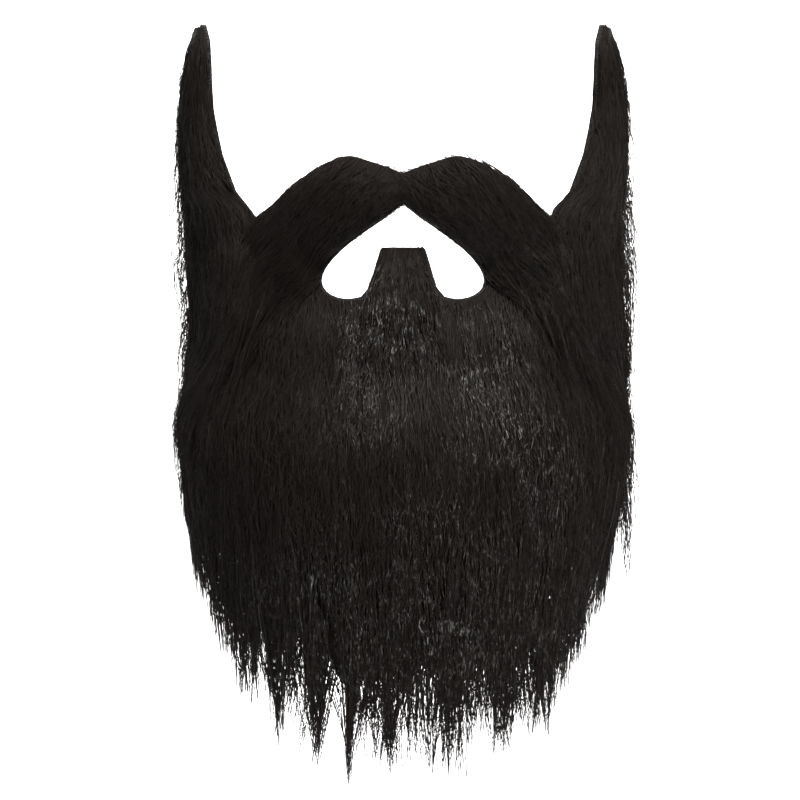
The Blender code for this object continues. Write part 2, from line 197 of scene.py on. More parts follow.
def show(name, mesh, material, slot, *nodes):
    """The mesh as a piece that stands for the CAD nodes and rides with them."""
    mesh.materials.clear()
    mesh.materials.append(material)
    piece = bpy.data.objects.new(name, mesh)
    bpy.context.scene.collection.objects.link(piece)
    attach(piece, "root")
    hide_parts(*nodes)
    return piece


def knitted_cloth():
    """Plain knit: columns of stitches, each a pair of slanted legs, on the cloth's own map in metres. Its
    colour has painted shade in the hollows and paler, painted-lit stitch tops.
    """
    cloth = Finish("knitted_cloth")
    own_map = cloth.node("ShaderNodeUVMap", {"uv_map": "cloth"}, {})
    across = cloth.node("ShaderNodeSeparateXYZ", {}, {0: own_map}, 0)
    up = cloth.node("ShaderNodeSeparateXYZ", {}, {0: own_map}, 1)
    columns = across / STITCH_WIDTH
    leg = columns.math("PINGPONG", columns, 0.5) * 2
    column = leg.math("SINE", leg * math.pi)
    course = up / STITCH_HEIGHT + leg * LEG_SLANT
    course = course.math("SINE", course * (2 * math.pi)) * 0.5 + 0.5
    fuzz = cloth.node("ShaderNodeTexNoise", {}, {"Vector": own_map, "Scale": FUZZ_SCALE, "Detail": 4.0})
    # The relief also colours the cloth: fuzz in the yarn, and painted shade in the hollows between the
    # stitch legs, with the raised stitch tops painted paler.
    relief = column * 0.6 + course * column * 0.5 + fuzz * 0.35
    bump = cloth.node("ShaderNodeBump", {}, {"Strength": 1.0, "Distance": KNIT_RELIEF, "Height": relief})
    return cloth.finish(
        Base_Color=cloth.colour(relief * 0.75 - 0.15, CLOTH_DARK, CLOTH_LIGHT),
        Roughness=0.88 - column * 0.12,
        Specular_IOR_Level=0.12,
        Normal=bump,
    )


bm = bmesh.new()
bm.from_mesh(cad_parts["backing"].data)
bmesh.ops.remove_doubles(bm, verts=bm.verts, dist=WELD_DISTANCE)
bmesh.ops.recalc_face_normals(bm, faces=bm.faces)
mesh = bpy.data.meshes.new("cloth_backing")
bm.to_mesh(mesh)
bm.free()
at = np.empty(len(mesh.vertices) * 3, np.float32)
mesh.vertices.foreach_get("co", at)
at = at.reshape(-1, 3).astype(float)
turned = np.arctan2(at[:, 0] / half_width(at[:, 2]), 1 - at[:, 1] / BEND_DEPTH)
corner = np.empty(len(mesh.loops), np.int32)
mesh.loops.foreach_get("vertex_index", corner)
flat = np.stack([turned * BEND_HALF_WIDTH, at[:, 2]], 1)[corner]
mesh.uv_layers.new(name="cloth").uv.foreach_set("vector", flat.astype(np.float32).ravel())
mesh.shade_smooth()
mesh.set_sharp_from_angle(angle=math.radians(CREASE_ANGLE))
cloth_backing = show("cloth_backing", mesh, knitted_cloth(), "cloth", "backing")

# The chin beard
# The long fur below the mouth hole and along both sides: wavy acrylic hair, up to 170 mm long, knitted into
# the cloth. It hangs as a curved curtain and thins out into wisps. A dense dark body of hair carries the
# loose tufts that show.

MOUTH_DROP = 0.0395
BEARD_DROP, SIDE_DROP, LOCK_DROP = 0.2120, 0.1180, 0.0340
CHIN_FUR, SIDE_FUR, REAR_FUR = 0.0240, 0.0230, 0.0122
EDGE_FUR, TIP_FUR = 0.0015, 0.0012
CHIN_LOCKS, WISP_PLACES, SHORT_SHARE, VALLEY_SHARE = 21, (-0.31, 0.02, 0.33), 0.4, 0.35
HAIR_RADIUS, WISP_RADIUS, CLUMP_RADIUS, TIP_RADIUS = 0.00014, 0.00011, 0.00026, 0.00004
RADIUS_SPREAD, TAPER_POWER, MAP_MARGIN = 0.25, 2.2, 0.15
SHORTEST_HAIR, LENGTH_STEP, LOW_LENGTH = 0.018, 0.008, 0.030
WISP_SHORTEST, WISP_LONGEST, WISP_ENDS, CORNER_DROP = 0.052, 0.076, 0.011, 0.008
LONG_KINK, WISP_KINK, WISP_APART = 0.00072, 0.00025, 0.10
BODY_REACH, BODY_DEPTH, BODY_GAP = 0.80, 0.0016, 0.0002
END_STEP, END_DROP, HEM_MARGIN = 0.008, 0.014, 0.003
CHIN_HAIRS, TIP_GAP, TIP_STEP, HEIGHT_SPREAD = 3, 0.008, 0.012, 0.0035
HAIR_APART, PROUD_TUFT, PROUD_HAIR, SHELL_DEPTH = 0.0009, 0.00035, 0.0004, 0.0006
LINING_SHARE, LINING_DEPTH, LINING_DROP = 0.12, 0.0006, 0.004
WISP_LIFT, WISP_DROP, WISP_SPREAD = 0.0055, 0.005, 0.009
WISPS, WISP_HAIRS, CLUMP_SHARE = 96, 29, 0.35
TONE_MIDDLE, TONE_SPREAD = 0.45, 0.16
FLECK_SCALE, FLECK_TWIST, FLECK_FLOOR, PATCH_SCALE = (700.0, 700.0, 300.0), 1.4, 0.55, 38.0
STREAK_SCALE, STREAK_RELIEF = (1500.0, 1500.0, 90.0), 0.0006
# The pale end of the hair's colour: a little of it is random tone, the rest is painted highlight.
HAIR_DARK, HAIR_TONE_AND_HIGHLIGHT = (0.0026, 0.0014, 0.0009), (0.1560, 0.1540, 0.1480)
HAIR_SHINE = (1.0, 0.94, 0.88)
BODY_DARK, BODY_LIGHT = (0.0018, 0.0012, 0.0009), (0.0060, 0.0040, 0.0030)

HEM_LINE = [
    # angle, reach
    (0.00, 1.00),
    (0.22, 0.95),
    (0.40, 0.82),
    (0.54, 0.64),
    (0.70, 0.38),
    (0.88, 0.12),
    (1.00, 0.00),
]
ROOT_LINE = [
    # angle, drop
    (0.000, 0.940),
    (0.100, 0.940),
    (0.125, 1.020),
    (0.215, 1.015),
    (0.255, 0.950),
    (0.282, 0.860),
    (0.330, 0.790),
    (0.500, 0.740),
    (1.000, 0.720),
]
LOCKS = [
    # width, short
    (1.10, 0.00),
    (0.75, 0.38),
    (1.30, 0.10),
    (0.85, 0.46),
    (1.15, 0.16),
    (0.70, 0.40),
    (1.25, 0.04),
    (0.90, 0.30),
]
# Ovals, seen from the front, of painted highlight and painted sheen in the hair's colour, where the hair is
# also less rough.
PAINTED_HIGHLIGHT_SPOTS = [
    # x, z, half_width, half_height, turn
    (0.022, -0.072, 0.061, 0.066, 0.0),
    (-0.006, -0.064, 0.020, 0.040, 4.0),
    (0.038, -0.087, 0.020, 0.055, -28.0),
    (0.006, -0.148, 0.066, 0.044, 0.0),
]


def root_height(angle):
    """Height at which the long fur starts: straight lines between the rows of the root line."""
    share, drop = np.array(ROOT_LINE).T
    return -MOUTH_DROP * np.interp(np.abs(angle) / REAR_ANGLE, share, drop)


def hem_height(angle):
    """Height that the longest locks reach."""
    reach = between(np.abs(angle) / REAR_ANGLE, HEM_LINE, 1)
    return -(SIDE_DROP + (BEARD_DROP - SIDE_DROP) * reach)


def long_fur(angle, height):
    """Thickness of the long fur: it builds up below its roots, and is least at the rear edge."""
    share = np.abs(angle) / REAR_ANGLE
    full = CHIN_FUR + (SIDE_FUR - CHIN_FUR) * ease(share / 0.7)
    full = full + (REAR_FUR - SIDE_FUR) * ease((share - 0.7) / 0.3)
    below = (root_height(angle) - height) / CHIN_DROP
    return EDGE_FUR + (full - EDGE_FUR) * ease(0.12 + 0.95 * below) * (below > -0.1)


def chin_walls(angle, height, end):
    """(inner, outer) stand-off of the long fur: whole down to nearly half its length, then tapering to the
    end of the locks, while the inner side swings outwards.
    """
    top = root_height(angle)
    fade = ease((np.clip((top - height) / (top - end), 0, 1) - 0.45) / 0.55)
    inner = CLOTH_THICKNESS + SEAT_GAP + 0.42 * CHIN_FUR * fade
    thick = long_fur(angle, height) * (1 - 0.94 * fade) + 0.94 * TIP_FUR * fade
    return inner, inner + thick


def fill_mesh(mesh, points, quads, tris):
    """Puts points, four-cornered and three-cornered faces into a mesh as whole arrays, and gives back the
    faces' corners.
    """
    corners = np.concatenate([quads.ravel(), tris.ravel()]).astype(np.int32)
    starts = np.concatenate([np.arange(len(quads)) * 4, len(quads) * 4 + np.arange(len(tris)) * 3])
    mesh.vertices.add(len(points))
    mesh.vertices.foreach_set("co", points.astype(np.float32).ravel())
    mesh.loops.add(len(corners))
    mesh.loops.foreach_set("vertex_index", corners)
    mesh.polygons.add(len(starts))
    mesh.polygons.foreach_set("loop_start", starts.astype(np.int32))
    mesh.update(calc_edges=True)
    mesh.shade_smooth()
    return corners


def wall_mesh(name, inner, outer):
    """A closed body between two grids of points, the inner and the outer side, joined round their rims."""
    rows, columns = inner.shape[:2]
    points = np.concatenate([inner.reshape(-1, 3), outer.reshape(-1, 3)])
    index = np.arange(rows * columns).reshape(rows, columns)
    near = np.stack([index[:-1, :-1], index[:-1, 1:], index[1:, 1:], index[1:, :-1]], -1).reshape(-1, 4)
    far = near[:, ::-1] + rows * columns
    rim = np.concatenate([index[0], index[1:, -1], index[-1, -2::-1], index[-2:0:-1, 0]])
    ahead = np.roll(rim, -1)
    sides = np.stack([rim, rim + rows * columns, ahead + rows * columns, ahead], -1)
    mesh = bpy.data.meshes.new(name)
    fill_mesh(mesh, points, np.concatenate([near, far, sides]), np.empty((0, 3), int))
    bm = bmesh.new()
    bm.from_mesh(mesh)
    bmesh.ops.recalc_face_normals(bm, faces=bm.faces)
    bm.to_mesh(mesh)
    bm.free()
    mesh.shade_smooth()
    mesh.set_sharp_from_angle(angle=math.radians(60))
    return mesh


def hair_mesh(name, random, path, tone, thickest):
    """Hairs as closed three-sided tubes round n paths of m points. Each is turned at random, thins out by a
    power of the way along it and ends in a point, and has its own square of the map.
    """
    n, m = path.shape[:2]
    ahead = np.gradient(path, axis=1)
    ahead /= np.linalg.norm(ahead, axis=2, keepdims=True)
    outward = path[:, :1] - np.array([0, BEND_DEPTH, 0])
    outward[:, :, 2] = 0
    side = np.cross(ahead, outward)
    side /= np.linalg.norm(side, axis=2, keepdims=True)
    up = np.cross(ahead, side)
    thirds = np.array([0, 2, 4]).reshape(1, 1, 3, 1) * math.pi / 3
    turn = random.uniform(0, 2 * math.pi, (n, 1, 1, 1)) + thirds
    ring = np.cos(turn) * side[:, :, None] + np.sin(turn) * up[:, :, None]
    t = np.linspace(0, 1, m)
    tapered = TIP_RADIUS + (thickest - TIP_RADIUS) * (1 - t**TAPER_POWER)
    radius = random.uniform(1 - RADIUS_SPREAD, 1 + RADIUS_SPREAD, (n, 1)) * tapered
    points = (path[:, :, None] + ring * radius[:, :, None, None])[:, : m - 1].reshape(n, -1, 3)
    points = np.concatenate([points, path[:, m - 1 :]], axis=1)
    per = points.shape[1]
    ring_at = np.arange(m - 2)[:, None] * 3
    a, b = np.arange(3), (np.arange(3) + 1) % 3
    quads = np.stack([ring_at + a, ring_at + b, ring_at + 3 + b, ring_at + 3 + a], -1).reshape(-1, 4)
    last = (m - 2) * 3
    tris = np.concatenate([np.stack([last + a, last + b, np.full(3, last + 3)], -1), [[0, 2, 1]]])
    first = np.arange(n)[:, None, None] * per
    quads, tris = (first + quads).reshape(-1, 4), (first + tris).reshape(-1, 3)
    mesh = bpy.data.meshes.new(name)
    corners = fill_mesh(mesh, points.reshape(-1, 3), quads, tris)
    cells, used = math.ceil(math.sqrt(n)), 1 - 2 * MAP_MARGIN
    own = np.arange(n)[:, None]
    along = np.concatenate([np.repeat(np.arange(m - 1), 3), [m - 1]]) / (m - 1)
    around = np.concatenate([np.tile([0.0, 0.5, 1.0], m - 1), [0.5]])
    across = (own % cells + MAP_MARGIN + used * around) / cells
    upward = (own // cells + MAP_MARGIN + used * along) / cells
    flat = np.stack([across, upward], -1).reshape(-1, 2)[corners]
    mesh.uv_layers.new(name="OFBake").uv.foreach_set("vector", flat.astype(np.float32).ravel())
    tones = mesh.attributes.new("tone", "FLOAT", "POINT")
    tones.data.foreach_set("value", np.repeat(tone.ravel(), per).astype(np.float32))
    return mesh


def tufted(random, side, angle, height, standoff, kink, apart=0.45):
    """Paths and tones of hairs, from arrays of tufts x hairs x points. Each tuft wanders from point to
    point by the kink, and each of its hairs by a share of that on its own.
    """
    tufts, each, steps = np.broadcast(angle, height, standoff).shape
    together = random.normal(0, 1.0, (3, tufts, 1, steps))
    wander = (together + random.normal(0, apart, (3, tufts, each, steps))) * kink
    angle = side * angle + np.degrees(wander[0] / BEND_HALF_WIDTH)
    path = place(angle, height + wander[1], standoff + 0.8 * wander[2]).reshape(-1, steps, 3)
    tone = random.normal(TONE_MIDDLE, TONE_SPREAD, (tufts, 1))
    tone = tone + random.normal(0, TONE_SPREAD, (tufts, each))
    return path, np.clip(tone, 0, 1)


def spot(finish, place_on, x, z, half_width, half_height, turn):
    """An oval seen from the front: 1 - way^2 of the way from its middle to its edge, and 0 outside it. It
    is so deep that y hardly counts.
    """
    oval = {
        "Vector": place_on,
        "Location": (x, 0, z),
        "Rotation": (0, math.radians(turn), 0),
        "Scale": (half_width, 10.0, half_height),
    }
    off = finish.node("ShaderNodeMapping", {"vector_type": "TEXTURE"}, oval)
    way = finish.node("ShaderNodeVectorMath", {"operation": "LENGTH"}, {0: off}, 1)
    return (1 - way * way).above(0.0)


def hair_finish():
    """Acrylic hair: dark and warm, with curly pale flecks of painted highlight where neighbouring hairs
    would catch the light. The painted highlight spots have more of them, a little painted sheen in the
    colour, and less roughness.
    """
    hair = Finish("acrylic_hair")
    tone = hair.node("ShaderNodeAttribute", {"attribute_name": "tone"}, {}, 2)
    place_on = hair.node("ShaderNodeTexCoord", {}, {}, 3)
    drawn = hair.node("ShaderNodeMapping", {}, {"Vector": place_on, "Scale": FLECK_SCALE})
    curly = {"Vector": drawn, "Scale": 1.0, "Detail": 3.0, "Distortion": FLECK_TWIST}
    fleck = hair.node("ShaderNodeTexNoise", {}, curly)
    patch = hair.node("ShaderNodeTexNoise", {}, {"Vector": place_on, "Scale": PATCH_SCALE, "Detail": 2.0})
    wide, middle, slant, low = [spot(hair, place_on, *row) for row in PAINTED_HIGHLIGHT_SPOTS]
    # Painted sheen: the spots lift the base colour a little, and lower the roughness.
    swell = wide * 0.6 + middle * 0.5 + slant * 0.5
    reach = wide * 0.4 + middle * 1.1 + slant * 1.1 + low * 0.8
    # Painted highlights: pale flecks in the base colour, with more of them in the painted highlight spots.
    lit = ((fleck - FLECK_FLOOR) * 6.0).above(0.0) * (patch * 2.6 - 0.7) * (0.12 + reach * 1.5)
    shade = tone * 0.008 + swell * 0.016 + lit * (0.12 + tone)
    return hair.finish(
        Base_Color=hair.colour(shade, HAIR_DARK, HAIR_TONE_AND_HIGHLIGHT),
        Roughness=0.74 - swell * 0.30 - tone * 0.12,
        Specular_IOR_Level=0.13,
        Specular_Tint=(*HAIR_SHINE, 1.0),
    )


def body_finish():
    """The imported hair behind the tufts: darker, with streaks that run down it in relief and colour."""
    body = Finish("packed_hair")
    place_on = body.node("ShaderNodeTexCoord", {}, {}, 3)
    drawn = body.node("ShaderNodeMapping", {}, {"Vector": place_on, "Scale": STREAK_SCALE})
    streak = body.node("ShaderNodeTexNoise", {}, {"Vector": drawn, "Scale": 1.0, "Detail": 4.0})
    bump = body.node("ShaderNodeBump", {}, {"Strength": 1.0, "Distance": STREAK_RELIEF, "Height": streak})
    return body.finish(
        Base_Color=body.colour(streak * 1.6 - 0.5, BODY_DARK, BODY_LIGHT),
        Roughness=0.80 - streak * 0.2,
        Normal=bump,
        Specular_IOR_Level=0.06,
        Specular_Tint=(*HAIR_SHINE, 1.0),
    )


HAIR, PACKED = hair_finish(), body_finish()


def show_hair(name, node, random, path, tone, thickest=HAIR_RADIUS):
    """The hairs of a piece as one mesh."""
    show(name, hair_mesh(name, random, path, tone, thickest), HAIR, "fur", node)


outwards = np.abs(np.arange(CHIN_LOCKS) - (CHIN_LOCKS - 1) / 2).astype(int)
width, short = np.array(LOCKS)[outwards % len(LOCKS)].T
edges = REAR_ANGLE * (2 * np.concatenate([[0], np.cumsum(width)]) / width.sum() - 1)
ridges, short = (edges[1:] + edges[:-1]) / 2, short * LOCK_DROP
random = np.random.default_rng(10)
shape = (CHIN_LOCKS, len(WISP_PLACES))
beside = np.array(WISP_PLACES) + random.normal(0, 0.05, shape)
wisp_angle = ridges[:, None] + np.diff(edges)[:, None] * beside
wisp_end = hem_height(wisp_angle) + short[:, None] * SHORT_SHARE
wisp_end = wisp_end + random.gamma(1.4, END_STEP, shape) - END_DROP

angle = np.interp(np.arange(CHIN_LOCKS * 6 + 1) / 6, np.arange(CHIN_LOCKS + 1), edges)
lock = np.clip(np.searchsorted(edges, angle, side="right") - 1, 0, CHIN_LOCKS - 1)
off_ridge = np.abs((angle - ridges[lock]) / (edges[lock + 1] - ridges[lock]))
end = hem_height(angle) + SHORT_SHARE * short[lock] * (1 - off_ridge) + VALLEY_SHARE * LOCK_DROP * off_ridge
down = np.linspace(0, BODY_REACH, 46)[:, None]
height = root_height(angle) * (1 - down) + end * down
inner, outer = chin_walls(angle, height, end)
relief = 1 - 0.16 * off_ridge * ease((down - 0.35) / 0.3)
thick = (outer - inner) * relief * (1 - 0.70 * ease((down - 0.50) / 0.30))
thick = np.maximum(thick - BODY_DEPTH, 0.3 * thick)
inner_side, outer_side = place(angle, height, inner + BODY_GAP), place(angle, height, inner + thick)
mesh = wall_mesh("chin_hair_body", inner_side, outer_side)
show("chin_hair_body", mesh, PACKED, "fur", "chin_beard")


def chin_hairs(random, tufts, each, low, high):
    """Tufts of the long fur between two angles: they start all over its surface, or on the inner side
    below the cloth, follow it down, and stand a little proud at their tips. Those that reach the hem draw
    together in wisps.
    """
    shape, own = (tufts, 1, 1), (tufts, each, 1)
    t = np.linspace(0, 1, 8)
    start = random.uniform(low, high, shape)
    lock = np.clip(np.searchsorted(edges, start) - 1, 0, CHIN_LOCKS - 1)
    wisp = np.abs(wisp_angle[lock] - start[..., None]).argmin(-1)
    target, end = wisp_angle[lock, wisp], wisp_end[lock, wisp]
    top = root_height(start)
    share = np.maximum(random.uniform(-0.10, 1.05, shape), 0.03 * random.random(shape))
    length = SHORTEST_HAIR + random.gamma(2.0, LENGTH_STEP, shape) + LOW_LENGTH * ease(share / 0.8 - 0.25)
    first = np.minimum(top, np.maximum(top - (top - end) * share, end + length))
    last = np.maximum(first - length, end + TIP_GAP + random.exponential(TIP_STEP, shape))
    height = first + (last - first) * t + random.normal(0, HEIGHT_SPREAD, own) * (0.3 + 0.7 * t)
    height = np.clip(height, -BEARD_DROP - HEM_MARGIN, top)
    down = np.clip((top - height) / (top - end), 0, 1.05)
    sway = random.normal(0, 2.4, shape) * t**1.3 + random.normal(0, 2.2, own) * t
    spread = np.degrees(random.normal(0, HAIR_APART, own) * (1 - 0.6 * t) / BEND_HALF_WIDTH)
    angle = start + (target - start) * 0.75 * ease((down - 0.78) / 0.24) + sway + spread
    angle = np.clip(angle, -REAR_ANGLE, REAR_ANGLE)
    inner, outer = chin_walls(angle, height, end)
    proud = random.gamma(1.6, PROUD_TUFT, shape) + random.gamma(1.2, PROUD_HAIR, own)
    depth = np.minimum(BODY_DEPTH * (1 - t) ** 2 + SHELL_DEPTH, 0.4 * (outer - inner))
    shell = outer - depth + proud * t**1.5
    inside = random.random(shape) < LINING_SHARE
    lining = inner + LINING_DEPTH - 0.4 * proud * t
    standoff = np.where(inside & (height < lower_edge(angle) - LINING_DROP), lining, shell)
    kink = LONG_KINK * (1 - 0.78 * ease((down - 0.55) / 0.25))
    return tufted(random, 1, angle, height, standoff, kink)


def chin_wisps(random, wisps, each):
    """Wisps of the hem: bundles of long hairs with a slant and a bend of their own, which draw together and
    end one after another, so that each bundle thins out. They reach lower at the hem's two corners.
    """
    shape, own = (wisps, 1, 1), (wisps, each, 1)
    t = np.linspace(0, 1, 10)
    start = REAR_ANGLE * random.uniform(-0.93, 0.93, shape)
    target = start + random.normal(0, 3.6, shape)
    end = hem_height(target) + random.gamma(1.6, WISP_LIFT, shape) - WISP_DROP
    end = end - CORNER_DROP * np.exp(-(((np.abs(target) / REAR_ANGLE - 0.48) / 0.15) ** 2))
    first = end + random.uniform(WISP_SHORTEST, WISP_LONGEST, shape) + random.normal(0, WISP_SPREAD, own)
    last = end + random.exponential(WISP_ENDS, own)
    height = np.clip(first + (last - first) * t, -BEARD_DROP - HEM_MARGIN, root_height(start))
    spread = random.normal(0, 1.0, own) * random.uniform(1.5, 4.2, shape) * (1 - 0.80 * ease(t * 1.1))
    bend = random.normal(0, 1.3, shape)
    waves = t * random.uniform(0.8, 1.8, shape) + random.random(shape)
    bend = bend * np.sin(math.pi * waves)
    angle = np.clip(start + (target - start) * t**1.5 + spread + bend, -REAR_ANGLE, REAR_ANGLE)
    inner, outer = chin_walls(angle, height, end)
    standoff = inner + (outer - inner) * random.uniform(0.0, 1.05, own)
    return tufted(random, 1, angle, height, standoff, WISP_KINK, WISP_APART)


for name, low, high, tufts, seed in (
    ("chin_hair_left", -92, -33, 1050, 11),
    ("chin_hair_middle", -33, 33, 1250, 12),
    ("chin_hair_right", 33, 92, 1050, 13),
):
    random = np.random.default_rng(seed)
    path, tone = chin_hairs(random, tufts, CHIN_HAIRS, low, high)
    show_hair(name, "chin_beard", random, path, tone)

random = np.random.default_rng(14)
path, tone = chin_wisps(random, WISPS, WISP_HAIRS)
thickest = np.where(random.random((len(path), 1)) < CLUMP_SHARE, CLUMP_RADIUS, WISP_RADIUS)
show_hair("chin_wisps", "chin_beard", random, path, tone, thickest)

# The soul patch
# A small tuft of short acrylic fur, knitted into the tab of the cloth. It is cut square along the top and
# down both sides, and falls over the roots of the long fur.

TAB_DROP, TAB_HALF_WIDTH, TAB_BASE_HALF_WIDTH = 0.0215, 0.0074, 0.0116
SOUL_PATCH_DROP, SOUL_PATCH_FUR = 0.0600, 0.0048
SOUL_PATCH_TUFTS, SOUL_PATCH_HAIRS, SOUL_PATCH_KINK = 170, 5, 0.00022
LAP_GAP, TAB_SINK = 0.0004, 0.0018
PACKED_SHARE, TIP_LIFT = 0.85, 0.0004


def lap(angle, height):
    """Stand-off of the underside of fur that lies on the cloth and laps over the long fur's roots."""
    over = long_fur(angle, height) + LAP_GAP
    above = (height - root_height(angle)) / MOUTH_DROP
    return CLOTH_THICKNESS + SEAT_GAP + over * (1 - ease((above - 0.10) / 0.15))


def tab_at(across, down):
    """(angle, height, underside, thickness) of the tuft: across from -1 to 1, down from its cut edge, 0, to
    1. It is thickest in the middle, and thins out to all its edges.
    """
    height = -TAB_DROP - (SOUL_PATCH_DROP - TAB_DROP) * down
    to_base = ease((-height - TAB_DROP) / (MOUTH_DROP - TAB_DROP))
    half = TAB_HALF_WIDTH * 0.97 + (TAB_BASE_HALF_WIDTH - TAB_HALF_WIDTH) * to_base
    angle = np.degrees(np.arcsin(across * half / half_width(height)))
    sides = np.sqrt(np.clip(1 - across**2, 0, 1))
    ends = ease(down / 0.35) * (1 - ease((down - 0.4) / 0.5))
    edge = EDGE_FUR * (1 - 0.9 * ease((down - 0.5) / 0.4))
    return angle, height, lap(angle, height), edge + (SOUL_PATCH_FUR - EDGE_FUR) * sides * ends


def show_packed(name, node, angle, height, under, thick):
    """The dark body of packed hair under a piece's loose hair, a little thinner than its fur."""
    outer_side = place(angle, height, under + thick * PACKED_SHARE)
    show(name, wall_mesh(name, place(angle, height, under), outer_side), PACKED, "fur", node)


down = np.linspace(0.01, 0.92, 21)[:, None]
angle, height, under, thick = tab_at(np.linspace(-0.96, 0.96, 15), down)
under = under - TAB_SINK * ease((down - 0.50) / 0.35)
show_packed("soul_patch_body", "soul_patch", angle, height, under, thick)

random = np.random.default_rng(21)
shape, own = (SOUL_PATCH_TUFTS, 1, 1), (SOUL_PATCH_TUFTS, SOUL_PATCH_HAIRS, 1)
t = np.linspace(0, 1, 6)
across = random.uniform(-1, 1, shape) + random.normal(0, 0.06, own) * (1 - 0.5 * t)
down = random.uniform(-0.015, 0.85, shape) + random.uniform(0.10, 0.36, own) * t
across = np.clip(across, -1.01, 1.01) * (1 + 0.10 * t * (down > 0.5))
angle, height, under, thick = tab_at(across, down)
standoff = under + thick - 0.0007 * (1 - t) ** 2 + random.gamma(1.5, TIP_LIFT, own) * t
path, tone = tufted(random, 1, angle, height, standoff, SOUL_PATCH_KINK)
show_hair("soul_patch_hair", "soul_patch", random, path, tone)

# The moustache
# Acrylic fur of middle length, knitted into the bridge over the mouth hole, parted in the middle and combed
# out to both sides. Its tails turn down beside the hole and lie over the long fur.

MOUTH_HALF_WIDTH, BOW_DROP = 0.0285, 0.0063
NOTCH_HALF_WIDTH, NOTCH_DROP = 0.0490, 0.0135
PEAK_HALF_SPAN, PEAK_RISE, DIP_RISE = 0.0205, 0.0095, 0.0035
TAIL_DROP, TAIL_ANGLE = 0.0660, 60.0
MOUSTACHE_FUR, PARTING_FUR = 0.0095, 0.0045
FRINGE_RISE, FRINGE_ACROSS = 0.0022, 0.25
MOUSTACHE_TUFTS, MOUSTACHE_HAIRS, MOUSTACHE_KINK = 800, 3, 0.00030
SPILL_STEP, SPILL_FULL, ROOT_DEPTH = 0.0085, 0.010, 0.0010

MOUTH_EDGE = [
    # across, drop
    (0.21, 0.285),
    (0.50, 0.425),
    (0.76, 0.570),
    (0.94, 0.715),
    (1.00, 0.835),
]
MOUSTACHE_CREST = [
    # across, fall
    (0.00, 0.00),
    (0.20, 0.08),
    (0.42, 0.26),
    (0.68, 0.52),
    (0.86, 0.76),
    (1.00, 1.00),
]
TAIL_EDGES = [
    # outer_angle, outer_drop, lower_angle, lower_drop
    (0.10, 0.22, -0.62, 0.50),
    (0.30, 0.46, -0.20, 0.66),
    (0.60, 0.72, 0.30, 0.83),
    (0.96, 0.97, 0.90, 1.00),
]
FRINGE_LINE = [
    # along, rise
    (0.00, 0.60),
    (0.09, 1.35),
    (0.14, 1.25),
    (0.19, 0.60),
    (0.24, 0.50),
    (0.31, 0.80),
    (0.40, 0.85),
    (0.48, 0.45),
    (0.55, 0.00),
    (1.00, 0.00),
]


def edge_rows(front, tail):
    """Rows of an edge of the moustache: share of the way along it, angle, height. It starts with points
    seen from the front, across and height, and goes on with the angles and heights of the tail.
    """
    across, height = np.array(front).T
    rows = np.stack([np.degrees(np.arcsin(across / half_width(height))), height], 1)
    rows = np.concatenate([rows, tail])
    steps = np.hypot(np.radians(np.diff(rows[:, 0])) * BEND_HALF_WIDTH, np.diff(rows[:, 1]))
    run = np.concatenate([[0], np.cumsum(steps)])
    return np.column_stack([run / run[-1], rows])


notch_angle = math.degrees(math.asin(NOTCH_HALF_WIDTH / half_width(-NOTCH_DROP)))
outer_angle, outer_drop, lower_angle, lower_drop = np.array(TAIL_EDGES).T
to_tip, fall = TAIL_ANGLE - notch_angle, TAIL_DROP - NOTCH_DROP
crest_tail = np.stack([notch_angle + to_tip * outer_angle, -NOTCH_DROP - fall * outer_drop], 1)
lower_tail = np.stack([notch_angle + to_tip * lower_angle, -NOTCH_DROP - fall * lower_drop], 1)
across, drop = np.array(MOUSTACHE_CREST).T
across = PEAK_HALF_SPAN + across * (NOTCH_HALF_WIDTH - PEAK_HALF_SPAN)
crest = np.stack([across, PEAK_RISE - drop * (PEAK_RISE + NOTCH_DROP)], 1)
dip = [(0.0, DIP_RISE), (PEAK_HALF_SPAN / 2, (DIP_RISE + PEAK_RISE) / 2)]
CREST_ROWS = edge_rows([*dip, *crest], crest_tail)
NOTCH_ALONG = CREST_ROWS[-len(TAIL_EDGES) - 1, 0] + 0.02
mouth_edge = np.array(MOUTH_EDGE) * (MOUTH_HALF_WIDTH, -MOUTH_DROP)
LOWER_ROWS = edge_rows([(0.0, -BOW_DROP), *mouth_edge], lower_tail)


def moustache_at(along, across):
    """(angle, height, thickness) of the right half: along from the parting to the tail's tip, and across
    from the upper to the lower edge. It swells beside the parting, thins out down the tail, and from the
    notch on it runs level into the sideburn instead of rounding off.
    """
    along, across = np.broadcast_arrays(along, across)
    past = np.maximum(along - 1, 0)
    edges = []
    for rows in (CREST_ROWS, LOWER_ROWS):
        slope = (rows[-1] - rows[-2]) / (rows[-1, 0] - rows[-2, 0])
        edges.append([between(along, rows, k) + past * slope[k] for k in (1, 2)])
    angle, height = [high + (low - high) * across for high, low in zip(*edges)]
    swell = PARTING_FUR + (MOUSTACHE_FUR - PARTING_FUR) * ease(along / 0.22)
    swell = swell * (1 - 0.75 * ease((along - 0.62) / 0.38))
    low_edge = ease((along - 0.32) / 0.12) * (across > 0.5)
    dome = np.clip(4 * across * (1 - across), 0, 1) ** (0.5 + 0.9 * low_edge)
    level = ease((along - 0.42) / 0.15) * (across < 0.5)
    dome = dome + (0.75 + 0.5 * across - dome) * level
    edge = EDGE_FUR * (1 - 0.9 * ease((along - 0.34) / 0.12) * ease((across - 0.5) / 0.5))
    return angle, height, edge + np.maximum(swell - EDGE_FUR, 0) * dome


